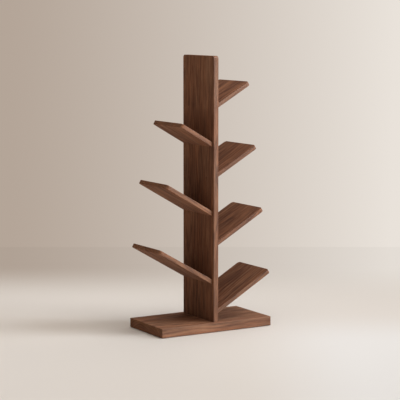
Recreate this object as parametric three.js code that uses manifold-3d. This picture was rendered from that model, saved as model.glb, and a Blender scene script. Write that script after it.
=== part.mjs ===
// A tree shaped bookshelf in walnut: an upright spine board stands on a heavy base board, and shelves rise
// outwards from both faces of the spine like branches. Millimetres, +Z up. The origin is on the floor under the
// middle of the base, +X points to the side with the most shelves and -Y to the front.

import * as THREE from "three";
import { mergeVertices } from "three/addons/utils/BufferGeometryUtils.js";
import Module from "manifold-3d";

const wasm = await Module();
wasm.setup();

// Every joint
const fitGap = 0.3; // left round each piece that is let into another
const cutOverrun = 15; // how far a cut runs past the face that it opens
const mergeDistance = 0.0001; // corners of a mesh closer than this are one corner

// Edges of the boards
const easedEdge = 2; // radius worked along every long edge

// Base board
const baseWidth = 555;
const baseDepth = 290;
const baseThickness = 40;
const baseCornerRadius = 3;

// Spine board
const overallHeight = 1200; // from the floor to the top of the spine
const spineThickness = 24;
const spineSetback = 14; // from the base's front and back edges to the spine's
const spineCornerRadius = 12;
const footDepth = 10; // how far the foot is let into the base

// Shelf boards: a rise is taken from the base's top to where a shelf's underside meets the spine, and a length
// along the underside from the spine's face to the outer end
const shelfTiltDegrees = 30;
const shelfThickness = 18;
const shelfSetback = 12; // from the spine's front edge back to the shelves' front edges
const shelfCornerRadius = 14;
const shelfPitch = 300; // from one shelf up to the next on the same side
const housingDepth = 6; // how far a shelf is let into the spine
const rightFirstRise = 32;
const rightFirstLength = 322;
const leftFirstRise = 167;
const leftFirstLength = 308;
const lengthStep = 42;
const rightStepCounts = [0, 1, 2, 3]; // by how many steps each shelf is shorter than the lowest, bottom up
const leftStepCounts = [0, 1, 3];

// Screws that hold the shelves, and the plugs over their heads
const shelfScrewLength = 60;
const shelfScrewHeadRadius = 4.2;
const shelfScrewHeadHeight = 3;
const shelfScrewShankRadius = 2;
const shelfScrewThreadDepth = 0.5;
const shelfScrewDriveRadius = 2.2;
const shelfScrewDriveDepth = 1.6;
const shelfScrewPlaceShare = 0.3; // of the shelf's depth, to each side of its middle
const plugLength = 8;
const plugMargin = 0.8; // by which a plug is wider than the head that it covers

// Dowels in the ends of the shelves
const shelfDowelRadius = 4;
const shelfDowelInSpine = 11;
const shelfDowelInShelf = 19;

// Screws and dowels that hold the spine on the base
const baseScrewLength = 60;
const baseScrewHeadRadius = 5.5;
const baseScrewHeadHeight = 4;
const baseScrewShankRadius = 3;
const baseScrewThreadDepth = 0.6;
const baseScrewDriveRadius = 2.8;
const baseScrewDriveDepth = 2.4;
const baseScrewSink = 6; // how far a head lies above the base's underside
const baseScrewPlaceShares = [-0.4, -0.13, 0.13, 0.4]; // of the spine's depth, from the front
const baseDowelRadius = 5;
const baseDowelInBase = 15;
const baseDowelInSpine = 25;
const baseDowelPlaceShares = { front: -0.27, back: 0.27 }; // of the spine's depth

// Chamfer on both ends of every dowel
const dowelChamfer = 1;

// Felt pads under the base
const padRadius = 15;
const padThickness = 2;
const padInset = 40; // from the base's edges to the middle of a corner pad
const padEdge = 0.5;

// Counts
const screwRidges = 4;
const threadShare = 0.6; // of a screw's length that carries thread
const tipShare = 0.1; // of a screw's length that tapers to its point
const easeSegments = 2;
const cornerSegments = 8;
const plugSegments = 20;
const hiddenSegments = 8;
const padSegments = 20;
const driveSides = 6;

// Worked out from the sizes above
const tilt = THREE.MathUtils.degToRad(shelfTiltDegrees);
const baseTop = padThickness + baseThickness;
const spineFoot = baseTop - footDepth;
const spineDepth = baseDepth - 2 * spineSetback;
const shelfDepth = spineDepth - shelfSetback;
const halfRise = shelfThickness / 2 / Math.cos(tilt); // from the underside up to the mid-plane, at the spine
const spineAlongShelf = alongShelf(spineThickness);
const plugRadius = shelfScrewHeadRadius + plugMargin;
const plugEnd = plugLength - spineAlongShelf;
const shelfScrewHeadTop = plugEnd + fitGap;
const shelfScrewPlaces = {
  front: -shelfScrewPlaceShare * shelfDepth,
  back: shelfScrewPlaceShare * shelfDepth,
};

// A distance square to the spine's face, measured along a shelf's slope instead.
function alongShelf(distance) {
  return distance / Math.cos(tilt);
}

// A geometry as a solid that can be cut.
function solidOf(geometry) {
  const bare = geometry.clone();
  bare.deleteAttribute("normal");
  bare.deleteAttribute("uv");
  const merged = mergeVertices(bare, mergeDistance);
  return new wasm.Manifold(
    new wasm.Mesh({
      numProp: 3,
      vertProperties: new Float32Array(merged.attributes.position.array),
      triVerts: new Uint32Array(merged.index.array),
    }),
  );
}

// A solid as a geometry with flat facets.
function geometryOf(solid) {
  const mesh = solid.getMesh();
  const geometry = new THREE.BufferGeometry();
  geometry.setAttribute("position", new THREE.BufferAttribute(new Float32Array(mesh.vertProperties), 3));
  geometry.setIndex(new THREE.BufferAttribute(new Uint32Array(mesh.triVerts), 1));
  const faceted = geometry.toNonIndexed();
  faceted.computeVertexNormals();
  return faceted;
}

// A geometry with every cutter taken out of it.
function cut(geometry, cutters) {
  const solid = cutters.reduce((left, cutter) => left.subtract(solidOf(cutter)), solidOf(geometry));
  return geometryOf(solid);
}

// Materials
function walnut() {
  return new THREE.MeshStandardMaterial({ color: 0x7a5340, roughness: 0.5, metalness: 0 });
}

function beech() {
  return new THREE.MeshStandardMaterial({ color: 0xc9a57a, roughness: 0.6, metalness: 0 });
}

function steel() {
  return new THREE.MeshStandardMaterial({ color: 0x9a9c9e, roughness: 0.35, metalness: 1 });
}

function felt() {
  return new THREE.MeshStandardMaterial({ color: 0x4a3a30, roughness: 0.95, metalness: 0 });
}

function addPiece(parent, name, geometry, material) {
  const piece = new THREE.Mesh(geometry, material);
  piece.name = name;
  parent.add(piece);
  return piece;
}

// A board cut to an outline in X and Y, its thickness centred on Z, with all its edges eased.
function boardGeometry(outline, thickness) {
  const geometry = new THREE.ExtrudeGeometry(outline, {
    depth: thickness - 2 * easedEdge,
    bevelThickness: easedEdge,
    bevelSize: easedEdge,
    bevelOffset: -easedEdge,
    bevelSegments: easeSegments,
    curveSegments: cornerSegments,
  });
  return geometry.translate(0, 0, easedEdge - thickness / 2);
}

// A rectangle from low to high whose corners have the radii given, in turn from the low one: right, top, left.
function rectangleOutline(low, high, radii) {
  const [lowLow, highLow, highHigh, lowHigh] = radii;
  const outline = new THREE.Shape();
  outline.moveTo(low.x + lowLow, low.y);
  outline.lineTo(high.x - highLow, low.y);
  corner(outline, high.x - highLow, low.y + highLow, highLow, -Math.PI / 2);
  outline.lineTo(high.x, high.y - highHigh);
  corner(outline, high.x - highHigh, high.y - highHigh, highHigh, 0);
  outline.lineTo(low.x + lowHigh, high.y);
  corner(outline, low.x + lowHigh, high.y - lowHigh, lowHigh, Math.PI / 2);
  outline.lineTo(low.x, low.y + lowLow);
  corner(outline, low.x + lowLow, low.y + lowLow, lowLow, Math.PI);
  return outline;
}

// A quarter turn round a centre, anticlockwise; a sharp corner needs none.
function corner(outline, x, y, radius, from) {
  if (radius > 0) outline.absarc(x, y, radius, from, from + Math.PI / 2, false);
}

// A round bar or bore from one place on the Z axis to another.
function roundBar(radius, from, to, segments) {
  const profile = [
    new THREE.Vector2(0, from),
    new THREE.Vector2(radius, from),
    new THREE.Vector2(radius, to),
    new THREE.Vector2(0, to),
  ];
  return new THREE.LatheGeometry(profile, segments).rotateX(Math.PI / 2);
}

// A dowel along Z, with a chamfer on both of its ends.
function dowelGeometry(radius, from, to) {
  const profile = [
    new THREE.Vector2(0, from),
    new THREE.Vector2(radius - dowelChamfer, from),
    new THREE.Vector2(radius, from + dowelChamfer),
    new THREE.Vector2(radius, to - dowelChamfer),
    new THREE.Vector2(radius - dowelChamfer, to),
    new THREE.Vector2(0, to),
  ];
  return new THREE.LatheGeometry(profile, hiddenSegments).rotateX(Math.PI / 2);
}

// A wood screw along Z: the top of its head is at zero, and it points up.
function screwGeometry(size) {
  const tipStart = size.length * (1 - tipShare);
  const threadStart = tipStart - size.length * threadShare;
  const pitch = (tipStart - threadStart) / screwRidges;
  const profile = [
    new THREE.Vector2(0, 0),
    new THREE.Vector2(size.headRadius, 0),
    new THREE.Vector2(size.headRadius, size.headHeight),
    new THREE.Vector2(size.shankRadius, size.headHeight),
    new THREE.Vector2(size.shankRadius, threadStart),
  ];
  for (let ridge = 0; ridge < screwRidges; ridge++) {
    const start = threadStart + ridge * pitch;
    profile.push(new THREE.Vector2(size.shankRadius + size.threadDepth, start + pitch / 2));
    profile.push(new THREE.Vector2(size.shankRadius, start + pitch));
  }
  profile.push(new THREE.Vector2(0, size.length));
  const body = new THREE.LatheGeometry(profile, hiddenSegments).rotateX(Math.PI / 2);
  return cut(body, [roundBar(size.driveRadius, -cutOverrun, size.driveDepth, driveSides)]);
}

// What a screw and its sunk head need cut away, along Z, from before the face that it enters by.
function screwCutters(size, sinkRadius, headTop, sinkSegments) {
  const seat = headTop + size.headHeight + fitGap;
  const tip = headTop + size.length + fitGap;
  return [
    roundBar(sinkRadius, headTop - size.sink - cutOverrun, seat, sinkSegments),
    roundBar(size.shankRadius + size.threadDepth + fitGap, seat - fitGap, tip, hiddenSegments),
  ];
}

const shelfScrew = {
  length: shelfScrewLength,
  headRadius: shelfScrewHeadRadius,
  headHeight: shelfScrewHeadHeight,
  shankRadius: shelfScrewShankRadius,
  threadDepth: shelfScrewThreadDepth,
  driveRadius: shelfScrewDriveRadius,
  driveDepth: shelfScrewDriveDepth,
  sink: plugLength,
};

const baseScrew = {
  length: baseScrewLength,
  headRadius: baseScrewHeadRadius,
  headHeight: baseScrewHeadHeight,
  shankRadius: baseScrewShankRadius,
  threadDepth: baseScrewThreadDepth,
  driveRadius: baseScrewDriveRadius,
  driveDepth: baseScrewDriveDepth,
  sink: baseScrewSink,
};

// A branch is built in its own frame: X runs out along the slope, Y across the shelf, and the origin is where
// the shelf's mid-plane meets the spine's face. Turned down by the tilt, its pieces stand as they do in the shelf.

// A long geometry along Z, laid along the branch's X at a place across it.
function layAlongBranch(geometry, place) {
  return geometry.rotateY(Math.PI / 2).translate(0, place, 0);
}

// The block of space that lies deeper behind the spine's face than the depth given.
function spaceBehind(depth) {
  const size = 2 * alongShelf(spineThickness + shelfThickness) + cutOverrun;
  return new THREE.BoxGeometry(size, spineDepth + 2 * cutOverrun, size)
    .translate(-depth - size / 2, 0, 0)
    .rotateY(tilt);
}

// A shelf, its inner end cut upright so that it stops short of the floor of its housing.
function shelfGeometry(length) {
  const inner = -alongShelf(housingDepth + shelfThickness);
  const outer = length - (shelfThickness / 2) * Math.tan(tilt);
  const outline = rectangleOutline(
    new THREE.Vector2(inner, -shelfDepth / 2),
    new THREE.Vector2(outer, shelfDepth / 2),
    [0, shelfCornerRadius, shelfCornerRadius, 0],
  );
  const holes = [...shelfScrewHoles(), shelfDowelHole()];
  return cut(boardGeometry(outline, shelfThickness), [spaceBehind(housingDepth - fitGap), ...holes]);
}

function shelfScrewHoles() {
  return Object.values(shelfScrewPlaces).flatMap((place) =>
    screwCutters(shelfScrew, plugRadius + fitGap, shelfScrewHeadTop, plugSegments).map((cutter) =>
      layAlongBranch(cutter, place),
    ),
  );
}

function shelfDowelHole() {
  const floor = -alongShelf(housingDepth);
  const hole = roundBar(
    shelfDowelRadius + fitGap,
    floor - shelfDowelInSpine - fitGap,
    floor + shelfDowelInShelf + fitGap,
    hiddenSegments,
  );
  return layAlongBranch(hole, 0);
}

// The slot in the spine's face that a shelf's end stands in: stopped at the front, open at the back.
function housingCutter(side) {
  const front = -side.sign * (shelfDepth / 2 + fitGap);
  const back = side.sign * (shelfDepth / 2 + cutOverrun);
  const inner = -alongShelf(housingDepth + shelfThickness);
  const slot = new THREE.BoxGeometry(cutOverrun - inner, Math.abs(back - front), shelfThickness + 2 * fitGap);
  slot.translate((cutOverrun + inner) / 2, (front + back) / 2, 0);
  return cut(slot, [spaceBehind(housingDepth)]);
}

function plugGeometry() {
  const start = -spineAlongShelf - cutOverrun;
  const bar = roundBar(plugRadius, start, plugEnd, plugSegments).rotateY(Math.PI / 2);
  return cut(bar, [spaceBehind(spineThickness)]);
}

function addBranch(parent, side, index, rise, length) {
  const label = `${side.name}_${index + 1}`;
  const branch = new THREE.Group();
  branch.position.set(spineThickness / 2, (side.sign * shelfSetback) / 2, baseTop + rise + halfRise);
  branch.rotation.y = -tilt;
  parent.add(branch);

  addPiece(branch, `shelf_${label}`, shelfGeometry(length), walnut());
  const floor = -alongShelf(housingDepth);
  const dowel = dowelGeometry(shelfDowelRadius, floor - shelfDowelInSpine, floor + shelfDowelInShelf);
  addPiece(branch, `shelf_dowel_${label}`, layAlongBranch(dowel, 0), beech());
  for (const [end, place] of Object.entries(shelfScrewPlaces)) {
    const screw = layAlongBranch(screwGeometry(shelfScrew), 0);
    addPiece(branch, `shelf_screw_${label}_${end}`, screw, steel()).position.set(
      shelfScrewHeadTop,
      side.sign * place,
      0,
    );
    addPiece(branch, `plug_${label}_${end}`, plugGeometry(), walnut()).position.y = side.sign * place;
  }
  return [housingCutter(side), ...shelfScrewHoles(), shelfDowelHole()].map((cutter) => ({ branch, cutter }));
}

// The spine: outline in Y and Z, two rounded corners at its top, cut for its shelves, screws and dowels.
function spineGeometry(branchCuts) {
  const outline = rectangleOutline(
    new THREE.Vector2(-spineDepth / 2, spineFoot),
    new THREE.Vector2(spineDepth / 2, overallHeight),
    [0, 0, spineCornerRadius, spineCornerRadius],
  );
  const board = boardGeometry(outline, spineThickness).rotateX(Math.PI / 2).rotateZ(Math.PI / 2);
  const fromBranches = branchCuts.map(({ branch, cutter }) => cutter.applyMatrix4(branch.matrixWorld));
  return cut(board, [...fromBranches, ...footHoles()]);
}

// Holes for the base's screws and dowels, cut through the base and on into the spine's foot.
function footHoles() {
  const screws = baseScrewPlaceShares.flatMap((share) =>
    screwCutters(
      baseScrew,
      baseScrewHeadRadius + fitGap,
      padThickness + baseScrewSink,
      hiddenSegments,
    ).map((cutter) => cutter.translate(0, share * spineDepth, 0)),
  );
  const dowels = Object.values(baseDowelPlaceShares).map((share) =>
    roundBar(
      baseDowelRadius + fitGap,
      spineFoot - baseDowelInBase - fitGap,
      spineFoot + baseDowelInSpine + fitGap,
      hiddenSegments,
    ).translate(0, share * spineDepth, 0),
  );
  return [...screws, ...dowels];
}

function baseGeometry() {
  const outline = rectangleOutline(
    new THREE.Vector2(-baseWidth / 2, -baseDepth / 2),
    new THREE.Vector2(baseWidth / 2, baseDepth / 2),
    Array(4).fill(baseCornerRadius),
  );
  const board = boardGeometry(outline, baseThickness).translate(0, 0, padThickness + baseThickness / 2);
  const footHousing = new THREE.BoxGeometry(
    spineThickness + 2 * fitGap,
    spineDepth + 2 * fitGap,
    footDepth + cutOverrun,
  ).translate(0, 0, spineFoot + (footDepth + cutOverrun) / 2);
  return cut(board, [footHousing, ...footHoles()]);
}

function padGeometry() {
  const profile = [
    new THREE.Vector2(0, 0),
    new THREE.Vector2(padRadius, 0),
    new THREE.Vector2(padRadius, padThickness - padEdge),
    new THREE.Vector2(padRadius - padEdge, padThickness),
    new THREE.Vector2(0, padThickness),
  ];
  return new THREE.LatheGeometry(profile, padSegments).rotateX(Math.PI / 2);
}

const group = new THREE.Group();

const sides = [
  {
    name: "right",
    sign: 1,
    turn: 0,
    firstRise: rightFirstRise,
    firstLength: rightFirstLength,
    stepCounts: rightStepCounts,
  },
  {
    name: "left",
    sign: -1,
    turn: Math.PI,
    firstRise: leftFirstRise,
    firstLength: leftFirstLength,
    stepCounts: leftStepCounts,
  },
];

const branchCuts = [];
for (const side of sides) {
  const sideGroup = new THREE.Group();
  sideGroup.rotation.z = side.turn;
  group.add(sideGroup);
  side.stepCounts.forEach((steps, index) => {
    const rise = side.firstRise + index * shelfPitch;
    const length = side.firstLength - steps * lengthStep;
    branchCuts.push(...addBranch(sideGroup, side, index, rise, length));
  });
}
group.updateMatrixWorld(true);

addPiece(group, "base_board", baseGeometry(), walnut());
addPiece(group, "spine_board", spineGeometry(branchCuts), walnut());

baseScrewPlaceShares.forEach((share, index) => {
  const screw = addPiece(group, `base_screw_${index + 1}`, screwGeometry(baseScrew), steel());
  screw.position.set(0, share * spineDepth, padThickness + baseScrewSink);
});

for (const [end, share] of Object.entries(baseDowelPlaceShares)) {
  const dowel = dowelGeometry(baseDowelRadius, spineFoot - baseDowelInBase, spineFoot + baseDowelInSpine);
  addPiece(group, `base_dowel_${end}`, dowel, beech()).position.y = share * spineDepth;
}

const padPlaces = {
  centre: [0, 0],
  front_left: [padInset - baseWidth / 2, padInset - baseDepth / 2],
  front_right: [baseWidth / 2 - padInset, padInset - baseDepth / 2],
  back_left: [padInset - baseWidth / 2, baseDepth / 2 - padInset],
  back_right: [baseWidth / 2 - padInset, baseDepth / 2 - padInset],
};
for (const [place, [x, y]] of Object.entries(padPlaces)) {
  addPiece(group, `pad_${place}`, padGeometry(), felt()).position.set(x, y, 0);
}

export default group;
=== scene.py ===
"""The looks of a tree shaped bookshelf in walnut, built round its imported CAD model.
Metres, +Z up, -Y to the front."""
import math
from functools import partial
from random import Random
from typing import NamedTuple

import bmesh
import bpy
from mathutils import Euler, Matrix, Vector


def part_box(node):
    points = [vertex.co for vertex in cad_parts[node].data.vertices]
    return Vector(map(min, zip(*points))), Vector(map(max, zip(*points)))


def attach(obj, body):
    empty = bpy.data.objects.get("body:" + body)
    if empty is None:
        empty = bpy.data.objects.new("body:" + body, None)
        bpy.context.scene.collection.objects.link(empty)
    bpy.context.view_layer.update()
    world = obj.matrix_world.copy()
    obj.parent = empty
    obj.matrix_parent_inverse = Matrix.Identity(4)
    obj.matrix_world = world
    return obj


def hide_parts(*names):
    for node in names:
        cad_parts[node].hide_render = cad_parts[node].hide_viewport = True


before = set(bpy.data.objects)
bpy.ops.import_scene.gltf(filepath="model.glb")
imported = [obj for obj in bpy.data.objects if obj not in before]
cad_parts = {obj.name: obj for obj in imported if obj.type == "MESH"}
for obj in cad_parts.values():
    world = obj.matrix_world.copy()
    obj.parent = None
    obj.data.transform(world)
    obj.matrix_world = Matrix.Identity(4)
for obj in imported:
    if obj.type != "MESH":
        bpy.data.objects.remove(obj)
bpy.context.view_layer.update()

MM = 0.001

# Boards
SHELF_TILT = math.radians(30)
SHELF_THICKNESS = 18 * MM
SHELF_CORNER = 14 * MM
SPINE_CORNER = 12 * MM
BASE_CORNER = 3 * MM
EASED_EDGE = 2 * MM
HOUSING_DEPTH = 6 * MM
SHELF_COUNTS = {"right": 4, "left": 3}

# Fits
GLUE_LINE = 0.1 * MM  # round what is glued or driven into a board
END_GAP = 0.3 * MM  # past the end of what is let into a board, and round the head of a screw
OVERRUN = 15 * MM  # how far a cutter runs past the face that it opens

# Plugs, screws, dowels and pads
PLUG_EDGE = 0.2 * MM
HEAD_HEIGHT_SHARE = 0.72  # of the head's radius, as the shares down to the point's are
HEAD_EDGE_SHARE = 0.15
DRIVE_SHARE = 0.52
DRIVE_DEPTH_SHARE = 0.42
SHANK_SHARE = 0.5
POINT_SHARE = 0.06
THREAD_SHARE = 0.62  # of the screw's length, as the tip's is
TIP_SHARE = 0.1
THREAD_PITCH = 2.6 * MM
THREAD_DEPTH = 0.5 * MM
THREAD_FLANK_SHARE = 0.3  # of the pitch, to each side of a thread's crest
BASE_SCREWS = 4
DOWEL_CHAMFER = 1 * MM
DOWEL_FLUTES = 12
FLUTE_DEPTH = 0.25 * MM
PAD_EDGE = 0.5 * MM
PAD_WAVE = 0.1 * MM
PAD_WAVES = 7

# Fineness
EASE_STEPS = 5
CORNER_STEPS = 16
ROUND_STEPS = 48
THREAD_STEPS = 8  # to a turn of the thread
SMOOTH_ANGLE = math.radians(35)

# Camera, as the photograph sees the bookshelf
CAMERA_PLACE = Vector((-3.4728, -5.8275, 1.3979))
CAMERA_DIP = math.radians(6.995)
CAMERA_TURN = math.radians(-30.769)
CAMERA_LENS = 139.83
CAMERA_SENSOR = 36.0
VIEW_RIGHT = Vector((math.cos(CAMERA_TURN), math.sin(CAMERA_TURN), 0))
VIEW_AHEAD = Vector((-math.sin(CAMERA_TURN), math.cos(CAMERA_TURN), 0))


class Sun(NamedTuple):
    """A far, soft light. Its turn is from the front towards the right, and its angles are in degrees.
    A level of 1 lights a white surface that faces it as white as a picture can be."""

    name: str
    turn: float
    height: float
    spread: float
    level: float
    tint: tuple


class Softbox(NamedTuple):
    """A square lamp near the bookshelf, in metres and watts."""

    name: str
    place: Vector
    aim: Vector
    size: float
    power: float
    tint: tuple


# Light
COOL = (0.9, 1.0, 1.1)
WARM = (1.05, 1.0, 0.95)
KEY_TURN = 90 + math.degrees(CAMERA_TURN)  # square to the view, on its right
SHEEN_TURN = -math.degrees(CAMERA_TURN)  # where the spine's front edge mirrors it to the camera
SUNS = (
    Sun("key_low", turn=KEY_TURN, height=20, spread=22, level=0.44, tint=COOL),
    Sun("key_high", turn=KEY_TURN, height=57, spread=10, level=0.1, tint=COOL),
    Sun("front_sheen", turn=SHEEN_TURN, height=3, spread=20, level=0.54, tint=WARM),
    Sun("overhead", turn=0, height=80, spread=60, level=0.52, tint=WARM),
    Sun("back_right", turn=120, height=30, spread=60, level=0.2, tint=WARM),
    Sun("left", turn=-60, height=20, spread=60, level=0.05, tint=WARM),
)
SOFTBOX = Softbox("top_softbox", Vector((0.8, -0.9, 2.2)), Vector((0, 0, 1)), size=0.5, power=9.5, tint=COOL)
FILL_LEVEL = 0.03
FLOOR_LIGHT = 1.02  # about the level of all light on the floor in front of the bookshelf

# Stage: a floor that takes on a wall's colours behind the bookshelf, with painted light and shade: the wall
# is painted darker to the left and brighter to the right, with painted shade at its foot, and the floor is
# painted whiter towards the front right. Its places are in metres from the origin, ahead in the view or to
# its right, and its colours are as a screen shows them
STAGE_HALF = 200.0
WALL_LINE = 2.32  # where the wall seems to stand on the floor
WALL_LINE_HALF_WIDTH = 0.02
WALL_EDGE = math.sin(math.radians(7.1))  # the sine of how far to each side the view reaches
WALL_CURVE = 1.3  # above 1, the wall brightens late towards the right
WALL_START, WALL_END = 0.57, 1.66  # where the floor takes on the wall's colours
WALL_FOOT_SHADE = 0.95  # of the wall's painted brightness, before the line: painted shade at the wall's foot
FOOT_SHADE_REACH, FOOT_SHADE_END = 1.3, 2.5  # to each side, where that shade fades out
# Painted light and shade on the wall: painted shade darkens it towards the left, and painted light brightens
# it towards the right
WALL_PAINTED_DIM = (180, 165, 152)
WALL_PAINTED_BRIGHT = (233, 226, 218)
WHITE_LEFT, WHITE_RIGHT = 0.1, 0.65  # where the floor's painted light turns it whiter to the right, and towards the front
WHITE_BACK, WHITE_FRONT = 0.35, -0.35
# The floor's own colour, and its whiter colour under painted light
FLOOR_WARM = (221, 212, 203)
FLOOR_PAINTED_LIGHT = (229, 224, 219)

# How a screen's levels stand for light: in step with it up to a knee, and by a power above
SCREEN_WHITE = 255
SCREEN_KNEE, SCREEN_SLOPE = 0.04045, 12.92
SCREEN_OFFSET, SCREEN_POWER = 0.055, 2.4

spine_low, spine_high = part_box("spine_board")
base_low, base_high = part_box("base_board")
spine_face = spine_high.x
spine_thickness = spine_high.x - spine_low.x

UPRIGHT = Matrix(((0, 0, -1, 0), (0, 1, 0, 0), (1, 0, 0, 0), (0, 0, 0, 1)))  # turns X up, Z to the left


# Meshes


def new_object(name, builder, matrix):
    mesh = bpy.data.meshes.new(name)
    bmesh.ops.recalc_face_normals(builder, faces=builder.faces)
    builder.to_mesh(mesh)
    builder.free()
    obj = bpy.data.objects.new(name, mesh)
    bpy.context.scene.collection.objects.link(obj)
    obj.matrix_world = matrix
    return obj


def close_rings(builder, rings):
    """Joins each ring of vertices to the next, and closes the first and the last with one face."""
    for lower, upper in zip(rings, rings[1:]):
        for i in range(len(lower)):
            j = (i + 1) % len(lower)
            builder.faces.new((lower[i], lower[j], upper[j], upper[i]))
    builder.faces.new(rings[0])
    builder.faces.new(rings[-1])


def corner_points(centre, radius, start):
    """A quarter turn round a centre, or the centre itself where the corner is sharp."""
    if radius <= 0:
        return [centre]
    turns = [start + math.pi / 2 * step / CORNER_STEPS for step in range(CORNER_STEPS + 1)]
    return [centre + radius * Vector((math.cos(turn), math.sin(turn))) for turn in turns]


def outline_points(low, high, inner_corner, outer_corner, inset, inner_inset):
    """A board's outline in X and Y, drawn in by an inset that differs at the inner end."""
    left, right = low.x + inner_inset, high.x - inset
    front, back = low.y + inset, high.y - inset
    inner = max(inner_corner - inset, 0)
    outer = max(outer_corner - inset, 0)
    points = corner_points(Vector((left + inner, front + inner)), inner, math.pi)
    points += corner_points(Vector((right - outer, front + outer)), outer, -math.pi / 2)
    points += corner_points(Vector((right - outer, back - outer)), outer, 0)
    points += corner_points(Vector((left + inner, back - inner)), inner, math.pi / 2)
    return points


def board_builder(low, high, inner_corner, outer_corner, ease, upright_end=False):
    """A board from one corner to the other, X along its grain and Z through it, with all edges rounded.
    An upright end is plumb once the board is tilted, and the low X is where it meets the mid-plane."""
    middle = (low.z + high.z) / 2
    flat = (high.z - low.z) / 2 - ease
    quarter = [math.pi / 2 * step / EASE_STEPS for step in range(EASE_STEPS + 1)]
    levels = [(-1, turn) for turn in reversed(quarter)] + [(1, turn) for turn in quarter]
    builder = bmesh.new()
    rings = []
    for side, turn in levels:
        inset = ease * (1 - math.cos(turn))
        height = side * (flat + ease * math.sin(turn))
        inner_inset = height * math.tan(SHELF_TILT) if upright_end else inset
        points = outline_points(low, high, inner_corner, outer_corner, inset, inner_inset)
        rings.append([builder.verts.new((p.x, p.y, middle + height)) for p in points])
    close_rings(builder, rings)
    return builder


def revolved_builder(profile):
    """A closed form round X, from places along it, each with a radius or a radius by angle."""
    builder = bmesh.new()
    rings = []
    for place, radius in profile:
        ring = []
        for step in range(ROUND_STEPS):
            turn = 2 * math.pi * step / ROUND_STEPS
            reach = radius(turn) if callable(radius) else radius
            ring.append(builder.verts.new((place, reach * math.cos(turn), reach * math.sin(turn))))
        rings.append(ring)
    close_rings(builder, rings)
    return builder


def bore(start, end, radius, matrix):
    """A cutter for a round hole along the X of a frame."""
    return new_object("bore", revolved_builder([(start, radius), (end, radius)]), matrix)


def cut(obj, makers):
    """Takes out of an object what each maker makes."""
    cutters = [make() for make in makers]
    for cutter in cutters:
        modifier = obj.modifiers.new("cut", "BOOLEAN")
        modifier.solver = "EXACT"
        modifier.object = cutter
    evaluated = obj.evaluated_get(bpy.context.evaluated_depsgraph_get())
    whole, obj.data = obj.data, bpy.data.meshes.new_from_object(evaluated)
    obj.modifiers.clear()
    bpy.data.meshes.remove(whole)
    for cutter in cutters:
        bpy.data.meshes.remove(cutter.data)
    return obj


def finish_piece(obj, material, slot, *nodes):
    """Smooth rounds between flat faces that stay flat, a material, and a place in the frame."""
    obj.data.shade_smooth()
    obj.data.set_sharp_from_angle(angle=SMOOTH_ANGLE)
    obj.modifiers.new("flat faces", "WEIGHTED_NORMAL").keep_sharp = True
    obj.data.materials.clear()
    obj.data.materials.append(material)
    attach(obj, "root")
    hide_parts(*nodes)


# Materials

MIX_FIRST, MIX_SECOND, MIX_RESULT = 6, 7, 2  # where a Mix node's sockets for colours lie


class Graph:
    """Writes a node tree as calls. A value is a number, a vector, a colour or another node's socket."""

    def __init__(self, tree):
        self.tree = tree

    def node(self, kind, inputs=None, **settings):
        node = self.tree.nodes.new("ShaderNode" + kind)
        for name, value in settings.items():
            setattr(node, name, value)
        for key, value in (inputs or {}).items():
            self.feed(node.inputs[key], value)
        return node

    def feed(self, socket, value):
        if isinstance(value, bpy.types.NodeSocket):
            self.tree.links.new(value, socket)
        else:
            socket.default_value = value

    def math(self, operation, *values):
        return self.node("Math", dict(enumerate(values)), operation=operation).outputs[0]

    def vector(self, operation, *values):
        return self.node("VectorMath", dict(enumerate(values)), operation=operation).outputs[0]

    def dot(self, first, second):
        return self.node("VectorMath", {0: first, 1: second}, operation="DOT_PRODUCT").outputs["Value"]

    def noise(self, place, detail=2.0, colour=False):
        noise = self.node("TexNoise", {"Vector": place, "Scale": 1.0, "Detail": detail})
        return noise.outputs["Color" if colour else "Fac"]

    def ease(self, value, low, high, start=0.0, end=1.0):
        """A smooth step from the start, where the value is low, to the end, where it is high."""
        inputs = {"Value": value, "From Min": low, "From Max": high, "To Min": start, "To Max": end}
        return self.node("MapRange", inputs, interpolation_type="SMOOTHSTEP").outputs[0]

    def spread(self, value, low, high, start=0.0, end=1.0):
        """A straight step, held at its ends."""
        inputs = {"Value": value, "From Min": low, "From Max": high, "To Min": start, "To Max": end}
        return self.node("MapRange", inputs).outputs[0]

    def mix(self, share, first, second):
        node = self.node("Mix", data_type="RGBA")
        self.feed(node.inputs["Factor"], share)
        self.feed(node.inputs[MIX_FIRST], first)
        self.feed(node.inputs[MIX_SECOND], second)
        return node.outputs[MIX_RESULT]

    def scale(self, vector, factor):
        """A vector or a colour times a number, or times another vector value by value."""
        if isinstance(factor, (int, float)):
            factor = (factor,) * 3
        return self.vector("MULTIPLY", vector, factor)

    def ramp(self, value, stops):
        """A colour by value, from two or more stops whose places rise."""
        node = self.node("ValToRGB", {"Fac": value})
        elements = node.color_ramp.elements
        for place, _ in stops[1:-1]:
            elements.new(place)
        for element, (place, colour) in zip(elements, stops):
            element.position = place
            element.color = (*colour, 1)
        return node.outputs["Color"]


class Layer(NamedTuple):
    """Noise drawn out along the grain, in millimetres, and how far it lifts the tone.
    Its span is the range of noise that it spreads from 0 to 1, so a smaller one is starker."""

    length: float
    width: float
    detail: float
    span: float
    weight: float = 0.0


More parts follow.
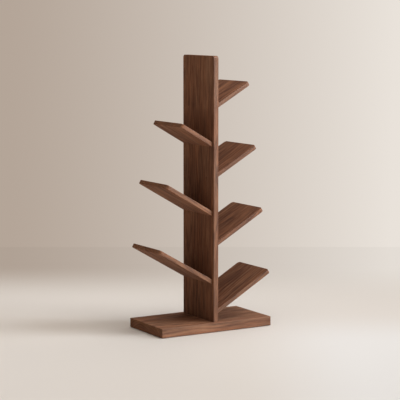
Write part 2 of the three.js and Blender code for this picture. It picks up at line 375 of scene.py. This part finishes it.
# Sizes in a wood's figure are in millimetres, and its colours are linear
WALNUT_TONES = [
    (0.0, (0.072, 0.028, 0.015)),
    (0.35, (0.155, 0.067, 0.034)),
    (0.6, (0.228, 0.105, 0.054)),
    (1.0, (0.350, 0.181, 0.100)),
]
BEECH_TONES = [
    (0.0, (0.36, 0.20, 0.10)),
    (0.5, (0.52, 0.33, 0.18)),
    (1.0, (0.66, 0.46, 0.28)),
]
STREAKS = Layer(length=110, width=12, detail=4, span=0.38, weight=0.46)
CLOUDS = Layer(length=260, width=60, detail=2, span=0.4, weight=0.22)
FIBRES = Layer(length=30, width=1.6, detail=4, span=0.44, weight=0.24)
BLUSH = Layer(length=320, width=16, detail=2, span=0.3)  # it tints, and lifts no tone
BLUSH_TINT = (1.1, 0.96, 0.86)
NOISE_MIDDLE = 0.5  # the value that noise varies about

# Growth rings, each paler where it starts and darkest just before it ends
RING_WIDTH = 11.0
RING_LATE_SHARE, RING_DARKEST_SHARE = 0.3, 0.9
RING_WEIGHT, YEAR_WEIGHT = 0.24, 0.14
DRIFT = 34.0
DRIFT_LENGTH, DRIFT_WIDTH = 330.0, 90.0

# Pores lie one to a cell, though not in each, and end grain shows where a face cuts across the grain
PORE_LENGTH, PORE_WIDTH = 7.0, 0.5  # a cell's size
PORE_CORE, PORE_RIM = 0.16, 0.3  # how far from its middle a pore is whole, and where it ends, in cells
PORE_ABSENT, PORE_PRESENT = 0.35, 0.45  # of a cell's random number, up to where it holds none, then one
PORE_SHADE = 0.62
END_FLAT, END_SQUARE = 0.6, 0.95  # the normal's part along the grain where end grain starts, and is whole
END_SHADE = 0.82
END_STREAKS = 0.5  # the even tone that stands for streaks on end grain

# The finish's gloss, which it loses at low views, and its relief in millimetres
SHINE = 0.25
GLOSS_ROUGHNESS = 0.36
CLOUD_ROUGHNESS, PORE_ROUGHNESS, END_ROUGHNESS = 0.08, 0.2, 0.12
LOW_VIEW_START, LOW_VIEW_END, LOW_VIEW_ROUGHNESS = 0.38, 0.5, 0.92
PORE_RELIEF, FIBRE_RELIEF, RING_RELIEF = -0.06, 0.02, 0.015

# Steel with stains and fine turning marks round each screw. Scales are steps of noise to a millimetre
STEEL_DARK, STEEL_BRIGHT = (0.42, 0.41, 0.39, 1), (0.62, 0.61, 0.6, 1)
STAIN_SCALE, STAIN_DETAIL = 0.4, 4.0
STAIN_LOW, STAIN_HIGH = 0.3, 0.7
STEEL_SMOOTHEST, STEEL_ROUGHEST = 0.26, 0.42
TURNING_SCALES, TURNING_DETAIL = (9.0, 0.6, 0.6), 2.0
TURNING_RELIEF = 0.02 * MM

# Felt with fine fluff and wider clumps
FELT_TONES = [
    (0.3, (0.03, 0.022, 0.017)),
    (0.7, (0.1, 0.075, 0.055)),
]
FLUFF_SCALE, FLUFF_DETAIL = 2.4, 5.0
CLUMP_SCALE, CLUMP_DETAIL = 0.25, 2.0
FLUFF_RELIEF = 0.4 * MM
FELT_ROUGHNESS = 0.95
FELT_SHEEN = 0.3


def wood_group(name, tones):
    """A wood's figure as growth rings round a pith, in a board whose grain runs along X."""
    tree = bpy.data.node_groups.new(name, "ShaderNodeTree")
    for socket, kind in (("Offset", "Vector"), ("Pith", "Vector"), ("Lean", "Vector"), ("Tone", "Float")):
        tree.interface.new_socket(socket, in_out="INPUT", socket_type="NodeSocket" + kind)
    for socket, kind in (("Color", "Color"), ("Roughness", "Float"), ("Height", "Float")):
        tree.interface.new_socket(socket, in_out="OUTPUT", socket_type="NodeSocket" + kind)
    graph = Graph(tree)
    given = tree.nodes.new("NodeGroupInput").outputs
    coordinates = graph.node("TexCoord").outputs
    place = graph.scale(coordinates["Object"], 1 / MM)
    seeded = graph.vector("ADD", place, given["Offset"])

    def stretched(start, length, width):
        return graph.scale(start, (1 / length, 1 / width, 1 / width))

    drift = graph.noise(stretched(seeded, DRIFT_LENGTH, DRIFT_WIDTH), colour=True)
    drift = graph.scale(graph.vector("SUBTRACT", drift, (NOISE_MIDDLE,) * 3), DRIFT)
    flowing = graph.vector("ADD", seeded, drift)

    def layer(kind):
        noise = graph.noise(stretched(flowing, kind.length, kind.width), kind.detail)
        return graph.spread(noise, NOISE_MIDDLE - kind.span / 2, NOISE_MIDDLE + kind.span / 2)

    along = graph.node("SeparateXYZ", {0: place}).outputs["X"]
    lean = graph.scale(given["Lean"], graph.node("CombineXYZ", {1: along, 2: along}).outputs[0])
    pith = graph.vector("ADD", given["Pith"], lean)
    across = graph.vector("SUBTRACT", graph.vector("ADD", place, drift), pith)
    across = graph.scale(across, (0, 1, 1))
    radius = graph.node("VectorMath", {0: across}, operation="LENGTH").outputs["Value"]
    rings = graph.math("DIVIDE", radius, RING_WIDTH)
    ring = graph.math("FRACT", rings)
    darkens = graph.ease(ring, RING_LATE_SHARE, RING_DARKEST_SHARE)
    late = graph.math("MULTIPLY", darkens, graph.ease(ring, RING_DARKEST_SHARE, 1.0, 1.0, 0.0))
    year = graph.node("TexWhiteNoise", {"W": graph.math("FLOOR", rings)}, noise_dimensions="1D")

    clouds = layer(CLOUDS)
    fibres = layer(FIBRES)
    cells = graph.node("TexVoronoi", {"Vector": stretched(flowing, PORE_LENGTH, PORE_WIDTH), "Scale": 1.0})
    pores = graph.ease(cells.outputs["Distance"], PORE_CORE, PORE_RIM, 1.0, 0.0)
    chosen = graph.node("SeparateColor", {0: cells.outputs["Color"]}).outputs[0]
    pores = graph.math("MULTIPLY", pores, graph.ease(chosen, PORE_ABSENT, PORE_PRESENT))

    ends = graph.node("SeparateXYZ", {0: coordinates["Normal"]}).outputs["X"]
    ends = graph.ease(graph.math("ABSOLUTE", ends), END_FLAT, END_SQUARE)
    streaks = graph.spread(ends, 0, 1, layer(STREAKS), END_STREAKS)
    tone = graph.math("MULTIPLY_ADD", streaks, STREAKS.weight, given["Tone"])
    for part, weight in (
        (clouds, CLOUDS.weight),
        (fibres, FIBRES.weight),
        (year.outputs["Value"], YEAR_WEIGHT),
        (late, -RING_WEIGHT),
    ):
        tone = graph.math("MULTIPLY_ADD", part, weight, tone)
    colour = graph.ramp(tone, tones)
    colour = graph.scale(colour, graph.mix(layer(BLUSH), (1, 1, 1, 1), (*BLUSH_TINT, 1)))
    colour = graph.scale(colour, graph.spread(pores, 0, 1, 1.0, PORE_SHADE))
    colour = graph.scale(colour, graph.spread(ends, 0, 1, 1.0, END_SHADE))

    roughness = graph.math("MULTIPLY_ADD", clouds, CLOUD_ROUGHNESS, GLOSS_ROUGHNESS)
    roughness = graph.math("MULTIPLY_ADD", pores, PORE_ROUGHNESS, roughness)
    roughness = graph.math("MULTIPLY_ADD", ends, END_ROUGHNESS, roughness)
    low_view = graph.node("LayerWeight").outputs["Facing"]
    low_view = graph.ease(low_view, LOW_VIEW_START, LOW_VIEW_END, 0.0, LOW_VIEW_ROUGHNESS)
    roughness = graph.math("MAXIMUM", roughness, low_view)
    height = graph.math("MULTIPLY", pores, PORE_RELIEF)
    height = graph.math("MULTIPLY_ADD", fibres, FIBRE_RELIEF, height)
    height = graph.math("MULTIPLY_ADD", late, RING_RELIEF, height)
    output = tree.nodes.new("NodeGroupOutput")
    graph.feed(output.inputs["Color"], colour)
    graph.feed(output.inputs["Roughness"], roughness)
    graph.feed(output.inputs["Height"], height)
    return tree


def new_material(name):
    """A new material, its graph and its shader."""
    material = bpy.data.materials.new(name)
    material.use_nodes = True
    return material, Graph(material.node_tree), material.node_tree.nodes["Principled BSDF"]


def add_relief(graph, shader, height, distance):
    bump = graph.node("Bump", {"Height": height, "Distance": distance})
    graph.feed(shader.inputs["Normal"], bump.outputs["Normal"])


def wood(name, group, offset, pith, lean, tone=0.0):
    material, graph, shader = new_material(name)
    figure = graph.node("Group", node_tree=group)
    for key, value in (("Offset", offset), ("Pith", pith), ("Lean", lean), ("Tone", tone)):
        figure.inputs[key].default_value = value
    graph.feed(shader.inputs["Base Color"], figure.outputs["Color"])
    graph.feed(shader.inputs["Roughness"], figure.outputs["Roughness"])
    shader.inputs["Specular IOR Level"].default_value = SHINE
    add_relief(graph, shader, figure.outputs["Height"], MM)
    return material


def steel_material():
    material, graph, shader = new_material("screw_steel")
    place = graph.scale(graph.node("TexCoord").outputs["Object"], 1 / MM)
    stains = graph.noise(graph.scale(place, STAIN_SCALE), STAIN_DETAIL)
    turned = graph.noise(graph.scale(place, TURNING_SCALES), TURNING_DETAIL)
    roughness = graph.spread(stains, STAIN_LOW, STAIN_HIGH, STEEL_SMOOTHEST, STEEL_ROUGHEST)
    graph.feed(shader.inputs["Base Color"], graph.mix(stains, STEEL_DARK, STEEL_BRIGHT))
    graph.feed(shader.inputs["Roughness"], roughness)
    shader.inputs["Metallic"].default_value = 1.0
    add_relief(graph, shader, turned, TURNING_RELIEF)
    return material


def felt_material():
    material, graph, shader = new_material("pad_felt")
    place = graph.scale(graph.node("TexCoord").outputs["Object"], 1 / MM)
    fluff = graph.noise(graph.scale(place, FLUFF_SCALE), FLUFF_DETAIL)
    clumps = graph.noise(graph.scale(place, CLUMP_SCALE), CLUMP_DETAIL)
    tone = graph.math("DIVIDE", graph.math("ADD", fluff, clumps), 2)
    graph.feed(shader.inputs["Base Color"], graph.ramp(tone, FELT_TONES))
    shader.inputs["Roughness"].default_value = FELT_ROUGHNESS
    shader.inputs["Sheen Weight"].default_value = FELT_SHEEN
    add_relief(graph, shader, fluff, FLUFF_RELIEF)
    return material


# How each board was sawn: where the tree's pith lies from its middle, in millimetres, and how far the
# pith leans off the grain to each millimetre along it
SPINE_PITH, SPINE_LEAN = (0, 60, -85), (0, 0.05, 0.04)
BASE_PITH, BASE_LEAN = (0, 30, -150), (0, 0.02, 0.03)
SHELF_LEAN = (0, 0.03, 0.05)
DOWEL_PITH = (0, 40, 0)
SHELF_PITH_ASIDE = 60  # at most, to either side
SHELF_PITH_NEAREST, SHELF_PITH_FARTHEST = 70, 160  # above a shelf or under it

# How much paler or darker some boards are than the rest, on the scale of the tones. By side it is painted
# light and shade: the left shelves are painted paler and the right ones painted darker
SIDE_PAINTED_LIGHT_AND_SHADE = {"right": -0.05, "left": 0.07}
BASE_TONE = 0.1
SHELF_TONE_CHANCE = 0.04

OFFSET_REACH = 9000  # in millimetres, far more than any board is long
SEED = 23

walnut_group = wood_group("walnut", WALNUT_TONES)
beech_group = wood_group("beech", BEECH_TONES)
chance = Random(SEED)


def random_offset():
    """A place in the wood for a piece to be cut from, in millimetres."""
    return [chance.uniform(-OFFSET_REACH, OFFSET_REACH) for _ in range(3)]


def random_pith():
    """Where a shelf's pith lies, above it or under it and a little to one side."""
    aside = chance.uniform(-SHELF_PITH_ASIDE, SHELF_PITH_ASIDE)
    return (0, aside, chance.choice((-1, 1)) * chance.uniform(SHELF_PITH_NEAREST, SHELF_PITH_FARTHEST))


def board_walnut(name, pith, lean, tone=0.0):
    return wood(name, walnut_group, random_offset(), pith, lean, tone)


# The shelves' places


class Branch:
    """A shelf's own frame: X out along its slope from the spine's face, Y across, Z square to its faces."""

    def __init__(self, side, number):
        self.label = f"{side}_{number}"
        low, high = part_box(f"shelf_{self.label}")
        flat = SHELF_THICKNESS / 2 - EASED_EDGE
        run = max(-low.x, high.x) - EASED_EDGE - spine_face - flat * math.sin(SHELF_TILT)
        climb = run * math.tan(SHELF_TILT) + flat * math.cos(SHELF_TILT) + EASED_EDGE
        self.length = run / math.cos(SHELF_TILT) + EASED_EDGE
        self.half_depth = (high.y - low.y) / 2
        self.turn = Matrix.Rotation(0 if side == "right" else math.pi, 4, "Z")
        origin = self.turn @ Vector((spine_face, 0, high.z - climb))
        origin.y = (low.y + high.y) / 2
        self.matrix = Matrix.Translation(origin) @ self.turn @ Matrix.Rotation(-SHELF_TILT, 4, "Y")

    def board(self, name, depth_in_spine, grow=0.0):
        """The shelf from that far behind the spine's face, or a cutter that is larger all round."""
        start = -depth_in_spine / math.cos(SHELF_TILT)
        half = Vector((0, self.half_depth + grow, SHELF_THICKNESS / 2 + grow))
        low = Vector((start, 0, 0)) - half
        high = Vector((self.length + grow, 0, 0)) + half
        builder = board_builder(low, high, 0, SHELF_CORNER + grow, EASED_EDGE + grow, upright_end=True)
        return new_object(name, builder, self.matrix)

    def rod(self, node, start_radius, end_radius):
        """The frame of a rod along the branch, and where it starts and ends there, from its box."""
        low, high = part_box(node)
        reaches = sorted(((self.turn.inverted() @ low).x, (self.turn.inverted() @ high).x))
        start = (reaches[0] - spine_face + start_radius * math.sin(SHELF_TILT)) / math.cos(SHELF_TILT)
        end = (reaches[1] - spine_face - end_radius * math.sin(SHELF_TILT)) / math.cos(SHELF_TILT)
        across = (self.matrix.inverted() @ ((low + high) / 2)).y
        return self.matrix @ Matrix.Translation((0, across, 0)), start, end


def half_width(node):
    """Half of a node's size along Y, which is the radius of a rod that lies across it."""
    low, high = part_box(node)
    return (high.y - low.y) / 2


# Fastenings


def thread_radius(place, core, start, end):
    """A screw's radius by angle at a place along its thread, which fades in and out."""

    def radius(turn):
        phase = (place / THREAD_PITCH - turn / (2 * math.pi)) % 1
        crest = max(0, 1 - abs(phase - 1 / 2) / THREAD_FLANK_SHARE)
        fade = min(1, (place - start) / THREAD_PITCH, (end - place) / THREAD_PITCH)
        return core + THREAD_DEPTH * crest * max(0, fade)

    return radius


def hexagon_radius(reach):
    """The radius by angle of a hexagon with corners at that reach."""
    return lambda turn: reach * math.cos(math.pi / 6) / math.cos(turn % (math.pi / 3) - math.pi / 6)


def screw_builder(start, end, head):
    """A wood screw along X, with a rounded head and a six-sided drive."""
    drive = hexagon_radius(DRIVE_SHARE * head)
    edge = HEAD_EDGE_SHARE * head
    shank = SHANK_SHARE * head
    tip = end - TIP_SHARE * (end - start)
    thread = tip - THREAD_SHARE * (end - start)
    profile = [(start + DRIVE_DEPTH_SHARE * head, drive), (start, drive)]
    for step in range(EASE_STEPS + 1):
        turn = math.pi / 2 * step / EASE_STEPS
        profile.append((start + edge * (1 - math.cos(turn)), head - edge * (1 - math.sin(turn))))
    profile.append((start + HEAD_HEIGHT_SHARE * head, head))
    profile.append((start + HEAD_HEIGHT_SHARE * head, shank))
    steps = round((tip - thread) / THREAD_PITCH * THREAD_STEPS)
    for step in range(steps + 1):
        place = thread + (tip - thread) * step / steps
        profile.append((place, thread_radius(place, shank, thread, tip)))
    profile.append((end, POINT_SHARE * head))
    return revolved_builder(profile)


def dowel_builder(start, end, radius):
    """A fluted dowel along X, chamfered at both ends."""

    def fluted(turn):
        return radius - FLUTE_DEPTH * (1 - math.cos(DOWEL_FLUTES * turn)) / 2

    slim = radius - DOWEL_CHAMFER
    return revolved_builder(
        [(start, slim), (start + DOWEL_CHAMFER, fluted), (end - DOWEL_CHAMFER, fluted), (end, slim)]
    )


def make_screw(node, start, end, head, place):
    """A screw along the X of a place. Returns what cuts the way for its thread."""
    screw = new_object(f"{node}_fine", screw_builder(start, end, head), place)
    finish_piece(screw, steel, "screw_steel", node)
    thread = SHANK_SHARE * head + THREAD_DEPTH + GLUE_LINE
    return partial(bore, start, end + END_GAP, thread, place)


def make_dowel(node, start, end, radius, place):
    """A dowel along the X of a place. Returns what cuts the way for it."""
    dowel = new_object(f"{node}_fine", dowel_builder(start, end, radius), place)
    finish_piece(dowel, beech, "dowel_beech", node)
    return partial(bore, start - END_GAP, end + END_GAP, radius + GLUE_LINE, place)


def make_plug(branch, node, seat):
    """A plug cut flush with the spine's far face, its grain upright like the spine's.
    Returns what cuts the way for it, down to the seat of the screw's head."""
    radius = half_width(node)
    place, _, end = branch.rod(node, radius, radius)
    face = -spine_thickness / math.cos(SHELF_TILT)
    builder = revolved_builder([(face, radius - PLUG_EDGE), (face + PLUG_EDGE, radius), (end, radius)])
    builder.verts.ensure_lookup_table()
    for vertex in builder.verts[: 2 * ROUND_STEPS]:
        vertex.co.x += vertex.co.z * math.tan(SHELF_TILT)
    low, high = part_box(node)
    grain = Matrix.Translation((low + high) / 2) @ UPRIGHT
    builder.transform(grain.inverted() @ place)
    plug = new_object(f"{node}_fine", builder, grain)
    finish_piece(plug, board_walnut(node, SPINE_PITH, SPINE_LEAN), "plug_walnut", node)
    return partial(bore, face - OVERRUN, seat, radius + GLUE_LINE, place)


def make_pad(node):
    low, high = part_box(node)
    radius, thickness = half_width(node), high.z - low.z
    wave = chance.uniform(0, 2 * math.pi)

    def ragged(inset):
        return lambda turn: radius - inset - PAD_WAVE * (1 + math.sin(PAD_WAVES * turn + wave))

    profile = [(0, ragged(PAD_EDGE)), (PAD_EDGE, ragged(0)), (thickness - PAD_EDGE, ragged(0))]
    profile.append((thickness, ragged(PAD_EDGE)))
    middle = Vector(((low.x + high.x) / 2, (low.y + high.y) / 2, low.z))
    pad = new_object(f"{node}_fine", revolved_builder(profile), Matrix.Translation(middle) @ UPRIGHT)
    finish_piece(pad, felt, "pad_felt", node)


# Assembly


def make_branch(branch, pith, tone):
    """A shelf with what fastens it. Returns what has to be cut out of the spine."""
    label = branch.label
    ways = [partial(branch.board, "housing", HOUSING_DEPTH, GLUE_LINE)]
    shared = []
    for place_name in ("front", "back"):
        node = f"shelf_screw_{label}_{place_name}"
        head = half_width(node)
        place, start, end = branch.rod(node, head, 0)
        shared.append(make_screw(node, start, end, head, place))
        ways.append(make_plug(branch, f"plug_{label}_{place_name}", start + HEAD_HEIGHT_SHARE * head))
    node = f"shelf_dowel_{label}"
    radius = half_width(node)
    place, start, end = branch.rod(node, radius - DOWEL_CHAMFER, radius - DOWEL_CHAMFER)
    shared.append(make_dowel(node, start, end, radius, place))
    node = f"shelf_{label}"
    shelf = branch.board(f"{node}_fine", HOUSING_DEPTH - END_GAP)
    cut(shelf, shared)
    finish_piece(shelf, board_walnut(node, pith, SHELF_LEAN, tone), "walnut", node)
    return ways + shared


def make_foot():
    """The screws and dowels between the base and the spine. Returns what has to be cut out of both."""
    ways = []
    for number in range(BASE_SCREWS):
        node = f"base_screw_{number + 1}"
        low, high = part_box(node)
        head = half_width(node)
        place = Matrix.Translation((0, (low.y + high.y) / 2, 0)) @ UPRIGHT
        ways.append(make_screw(node, low.z, high.z, head, place))
        seat = low.z + HEAD_HEIGHT_SHARE * head
        ways.append(partial(bore, base_low.z - OVERRUN, seat, head + END_GAP, place))
    for place_name in ("front", "back"):
        node = f"base_dowel_{place_name}"
        low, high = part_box(node)
        place = Matrix.Translation((0, (low.y + high.y) / 2, 0)) @ UPRIGHT
        ways.append(make_dowel(node, low.z, high.z, half_width(node), place))
    return ways


def spine_board(name, grow=0.0):
    """The spine, X up along its grain, or a cutter that is larger all round."""
    half = Vector((0, (spine_high.y - spine_low.y) / 2 + grow, spine_thickness / 2 + grow))
    low = Vector((spine_low.z - grow, 0, 0)) - half
    high = Vector((spine_high.z + grow, 0, 0)) + half
    builder = board_builder(low, high, 0, SPINE_CORNER + grow, EASED_EDGE + grow)
    return new_object(name, builder, UPRIGHT)


steel = steel_material()
beech = wood("dowel_beech", beech_group, (0, 0, 0), DOWEL_PITH, (0, 0, 0))
felt = felt_material()

spine_ways = []
for side, count in SHELF_COUNTS.items():
    for index in range(count):
        pith = random_pith()
        # the side's painted light and shade, plus each shelf's own random tone
        tone = SIDE_PAINTED_LIGHT_AND_SHADE[side] + chance.uniform(-SHELF_TONE_CHANCE, SHELF_TONE_CHANCE)
        spine_ways += make_branch(Branch(side, index + 1), pith, tone)
foot_ways = make_foot()

spine = cut(spine_board("spine_board_fine"), spine_ways + foot_ways)
finish_piece(spine, board_walnut("spine_board", SPINE_PITH, SPINE_LEAN), "walnut", "spine_board")

base_centre = (base_low + base_high) / 2
base_half = (base_high - base_low) / 2
base_builder = board_builder(-base_half, base_half, BASE_CORNER, BASE_CORNER, EASED_EDGE)
base = new_object("base_board_fine", base_builder, Matrix.Translation(base_centre))
cut(base, [partial(spine_board, "foot", GLUE_LINE), *foot_ways])
finish_piece(base, board_walnut("base_board", BASE_PITH, BASE_LEAN, BASE_TONE), "walnut", "base_board")

for place_name in ("centre", "front_left", "front_right", "back_left", "back_right"):
    make_pad(f"pad_{place_name}")


# Stage, light and camera


def linear(colour):
    """A colour as a screen shows it, from 0 to 255, made linear."""
    values = []
    for level in colour:
        share = level / SCREEN_WHITE
        if share > SCREEN_KNEE:
            values.append(((share + SCREEN_OFFSET) / (1 + SCREEN_OFFSET)) ** SCREEN_POWER)
        else:
            values.append(share / SCREEN_SLOPE)
    return [*values, 1]


def wall_with_painted_light(graph, direction):
    """The wall's colours with painted light and shade, from painted shade at the left to painted light at the
    right of the view ahead.
    """
    sideways = graph.dot(graph.vector("NORMALIZE", direction), VIEW_RIGHT)
    share = graph.math("POWER", graph.spread(sideways, -WALL_EDGE, WALL_EDGE), WALL_CURVE)
    return graph.mix(share, linear(WALL_PAINTED_DIM), linear(WALL_PAINTED_BRIGHT))


def seen_directly(graph):
    """1 for a ray from the camera, a reflection or glass, and 0 for light that a surface scatters."""
    rays = graph.node("LightPath").outputs
    seen = graph.math("MAXIMUM", rays["Is Camera Ray"], rays["Is Glossy Ray"])
    return graph.math("MAXIMUM", seen, rays["Is Transmission Ray"])


def stage_material():
    """A matt floor that keeps shadows and is painted whiter towards the front right, and glows in the wall's
    painted colours, darker to the left and brighter to the right, where it becomes the wall.
    """
    material, graph, shader = new_material("stage")
    place = graph.node("NewGeometry").outputs["Position"]
    ahead = graph.dot(place, VIEW_AHEAD)
    foot = Vector((CAMERA_PLACE.x, CAMERA_PLACE.y, 0))
    wall = wall_with_painted_light(graph, graph.vector("SUBTRACT", place, foot))
    past_line = graph.ease(ahead, WALL_LINE - WALL_LINE_HALF_WIDTH, WALL_LINE + WALL_LINE_HALF_WIDTH)
    sideways = graph.dot(place, VIEW_RIGHT)
    # Painted shade at the wall's foot, fading out to each side
    foot_shade = graph.ease(
        graph.math("ABSOLUTE", sideways), FOOT_SHADE_REACH, FOOT_SHADE_END, WALL_FOOT_SHADE, 1.0
    )
    wall = graph.scale(wall, graph.spread(past_line, 0, 1, foot_shade, 1.0))
    glow = graph.math("MULTIPLY", graph.ease(ahead, WALL_START, WALL_END), seen_directly(graph))
    # Painted light: the floor turns whiter towards the front right
    rightness = graph.ease(sideways, WHITE_LEFT, WHITE_RIGHT)
    nearness = graph.ease(ahead, WHITE_FRONT, WHITE_BACK, 1.0, 0.0)
    share = graph.math("MULTIPLY", rightness, nearness)
    floor_with_painted_light = graph.mix(share, linear(FLOOR_WARM), linear(FLOOR_PAINTED_LIGHT))
    albedo = graph.scale(floor_with_painted_light, 1 / FLOOR_LIGHT)
    graph.feed(shader.inputs["Base Color"], graph.mix(glow, albedo, (0, 0, 0, 1)))
    graph.feed(shader.inputs["Emission Color"], wall)
    graph.feed(shader.inputs["Emission Strength"], glow)
    shader.inputs["Roughness"].default_value = 1.0
    shader.inputs["Specular IOR Level"].default_value = 0.0
    return material


def make_world():
    """A dim even fill, and the wall's colours, with their painted light and shade, wherever the world itself
    or its reflection is seen.
    """
    world = bpy.data.worlds.new("studio")
    world.use_nodes = True
    graph = Graph(world.node_tree)
    shown = wall_with_painted_light(graph, graph.node("TexCoord").outputs["Generated"])
    fill = [*(FILL_LEVEL * value for value in WARM), 1]
    background = world.node_tree.nodes["Background"]
    graph.feed(background.inputs["Color"], graph.mix(seen_directly(graph), fill, shown))
    bpy.context.scene.world = world


def add_light(name, kind, place, aim, energy):
    light = bpy.data.lights.new(name, kind)
    light.energy = energy
    lamp = bpy.data.objects.new(name, light)
    bpy.context.scene.collection.objects.link(lamp)
    lamp.matrix_world = Matrix.Translation(place) @ (place - aim).to_track_quat("Z", "Y").to_matrix().to_4x4()
    return light


def add_sun(sun):
    turn, height = math.radians(sun.turn), math.radians(sun.height)
    along_floor = Vector((math.sin(turn), -math.cos(turn), 0))
    place = along_floor * math.cos(height) + Vector((0, 0, math.sin(height)))
    light = add_light(sun.name, "SUN", place, Vector(), math.pi * sun.level)
    light.angle = math.radians(sun.spread)
    light.color = sun.tint


def add_softbox(softbox):
    light = add_light(softbox.name, "AREA", softbox.place, softbox.aim, softbox.power)
    light.size = softbox.size
    light.color = softbox.tint


stage_builder = bmesh.new()
stage_corners = [(-1, -1, 0), (1, -1, 0), (1, 1, 0), (-1, 1, 0)]
stage_builder.faces.new([stage_builder.verts.new(STAGE_HALF * Vector(corner)) for corner in stage_corners])
stage_floor = new_object("stage_floor", stage_builder, Matrix.Identity(4))
stage_floor.data.materials.append(stage_material())

make_world()
for sun in SUNS:
    add_sun(sun)
add_softbox(SOFTBOX)

camera_data = bpy.data.cameras.new("camera")
camera_data.lens = CAMERA_LENS
camera_data.sensor_width = CAMERA_SENSOR
camera = bpy.data.objects.new("camera", camera_data)
camera.location = CAMERA_PLACE
camera.rotation_euler = Euler((math.pi / 2 - CAMERA_DIP, 0, CAMERA_TURN))
bpy.context.scene.collection.objects.link(camera)
bpy.context.scene.camera = camera
bpy.context.scene.view_settings.view_transform = "Standard"
